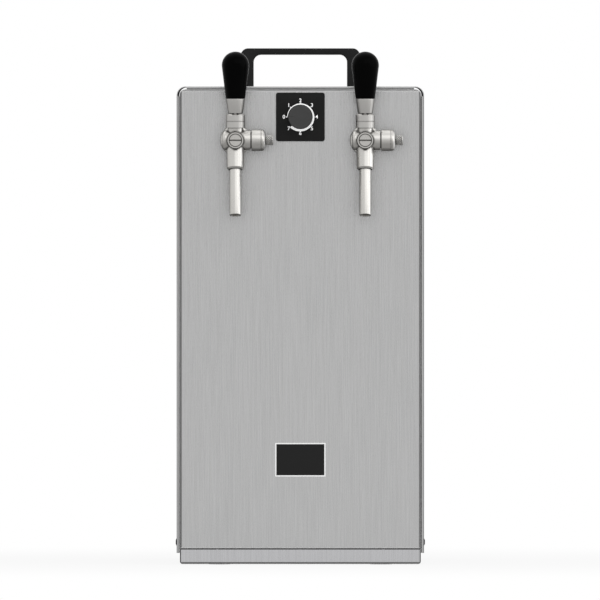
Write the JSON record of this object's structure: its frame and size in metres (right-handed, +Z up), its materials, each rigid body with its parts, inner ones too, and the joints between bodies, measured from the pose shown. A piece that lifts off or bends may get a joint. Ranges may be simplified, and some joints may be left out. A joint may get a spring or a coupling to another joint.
{
  "type": "portable drink dispenser",
  "caption": "Portable draught drink cooler: folded stainless cabinet with a carry handle, front lever taps with flow adjusters, a numbered thermostat dial and a refrigerated block inside.",
  "frame": {"origin": "on the bench, at the middle of the footprint box, spouts and rear fittings included", "axes": "+X to the right seen from the taps, +Y from the taps to the back, +Z up"},
  "size_m": [0.2528, 0.492, 0.5218],
  "materials": {
    "cabinet_steel": "satin rolled stainless sheet",
    "tap_steel": "polished stainless",
    "grip_black": "gloss black moulded plastic",
    "handle_black": "matt black moulded plastic",
    "dial_black": "matt black moulded plastic with white print",
    "knob_grey": "dark grey moulded plastic",
    "plate_black": "black enamelled plate with a white border",
    "screw_dark": "blackened steel",
    "zinc_steel": "zinc plated steel",
    "rubber": "moulded rubber",
    "housing_white": "pale moulded plastic",
    "foam": "moulded foam",
    "aluminium": "cast or rolled aluminium",
    "copper": "drawn copper tube",
    "beverage_tube": "food grade tube",
    "compressor_black": "black enamelled steel shell",
    "fitting_black": "black moulded plastic"
  },
  "bodies": {
    "cabinet": {"base_tray": "cabinet_steel", "front_panel": "cabinet_steel", "rear_panel": "cabinet_steel", "cover": "cabinet_steel", "rubber_feet": "rubber", "compressor_mounts": "rubber", "cover_rivet_nuts": "zinc_steel", "panel_screws": "zinc_steel", "handle_screws": "zinc_steel", "thermostat_nut": "zinc_steel", "shelf": "zinc_steel", "compressor_bolts": "zinc_steel", "cover_screws": "screw_dark", "carry_handle": "handle_black", "name_plate": "plate_black", "dial_plate": "dial_black", "thermostat_body": "housing_white", "sensor_capillary": "copper", "condenser_tube": "copper", "copper_lines": "copper", "filter_drier": "copper", "capillary_tube": "copper", "tap_escutcheons": "tap_steel", "shank_nuts": "tap_steel", "front_plugs": "tap_steel", "tap_body_left": "tap_steel", "tap_body_right": "tap_steel", "tap_shanks": "tap_steel", "bonnet_left": "tap_steel", "bonnet_right": "tap_steel", "spout_left": "tap_steel", "spout_right": "tap_steel", "flow_cap_left": "tap_steel", "flow_cap_right": "tap_steel", "insulation_shell": "foam", "insulation_lid": "foam", "cooling_block": "aluminium", "condenser_fins": "aluminium", "drink_lines": "beverage_tube", "inlet_fittings": "fitting_black", "cable_gland": "fitting_black", "terminal_cover": "fitting_black", "fan_shroud": "fitting_black", "compressor": "compressor_black", "fan_motor": "compressor_black"},
    "lever_left": {"lever_stem_left": "tap_steel", "lever_ferrule_left": "tap_steel", "lever_grip_left": "grip_black"},
    "piston_left": {"valve_piston_left": "tap_steel"},
    "adjuster_left": {"flow_adjuster_left": "tap_steel"},
    "cone_left": {"flow_cone_left": "tap_steel"},
    "lever_right": {"lever_stem_right": "tap_steel", "lever_ferrule_right": "tap_steel", "lever_grip_right": "grip_black"},
    "piston_right": {"valve_piston_right": "tap_steel"},
    "adjuster_right": {"flow_adjuster_right": "tap_steel"},
    "cone_right": {"flow_cone_right": "tap_steel"},
    "thermostat_dial": {"thermostat_shaft": "zinc_steel", "thermostat_knob": "knob_grey"},
    "fan": {"fan_rotor": "fitting_black"}
  },
  "joints": [
    {"name": "lever_tilt_left", "type": "hinge", "parent": "cabinet", "child": "lever_left", "pos_m": [-0.0655, -0.22, 0.444], "axis": [1, 0, 0], "range_deg": [0, 25]},
    {"name": "piston_slide_left", "type": "slide", "parent": "cabinet", "child": "piston_left", "axis": [0, 1, 0], "range_m": [0, 0.0065]},
    {"name": "adjuster_turn_left", "type": "hinge", "parent": "cabinet", "child": "adjuster_left", "pos_m": [-0.0655, -0.22, 0.429], "axis": [1, 0, 0], "range_deg": [-180, 180]},
    {"name": "cone_slide_left", "type": "slide", "parent": "cabinet", "child": "cone_left", "axis": [1, 0, 0], "range_m": [-0.00099, 0.00099]},
    {"name": "lever_tilt_right", "type": "hinge", "parent": "cabinet", "child": "lever_right", "pos_m": [0.0655, -0.22, 0.444], "axis": [1, 0, 0], "range_deg": [0, 25]},
    {"name": "piston_slide_right", "type": "slide", "parent": "cabinet", "child": "piston_right", "axis": [0, 1, 0], "range_m": [0, 0.0065]},
    {"name": "adjuster_turn_right", "type": "hinge", "parent": "cabinet", "child": "adjuster_right", "pos_m": [0.0655, -0.22, 0.429], "axis": [1, 0, 0], "range_deg": [-180, 180]},
    {"name": "cone_slide_right", "type": "slide", "parent": "cabinet", "child": "cone_right", "axis": [1, 0, 0], "range_m": [-0.00099, 0.00099]},
    {"name": "thermostat_turn", "type": "hinge", "parent": "cabinet", "child": "thermostat_dial", "pos_m": [0, -0.174, 0.4525], "axis": [0, 1, 0], "range_deg": [0, 315]},
    {"name": "fan_spin", "type": "hinge", "parent": "cabinet", "child": "fan", "pos_m": [0, 0.149, 0.332], "axis": [0, 1, 0], "continuous": true}
  ],
  "couplings": [
    {"joint": "piston_slide_left", "follows": "lever_tilt_left", "m_per_rad": 0.0146},
    {"joint": "adjuster_turn_left", "follows": "cone_slide_left", "rad_per_m": 3141.6},
    {"joint": "piston_slide_right", "follows": "lever_tilt_right", "m_per_rad": 0.0146},
    {"joint": "adjuster_turn_right", "follows": "cone_slide_right", "rad_per_m": 3141.6}
  ]
}
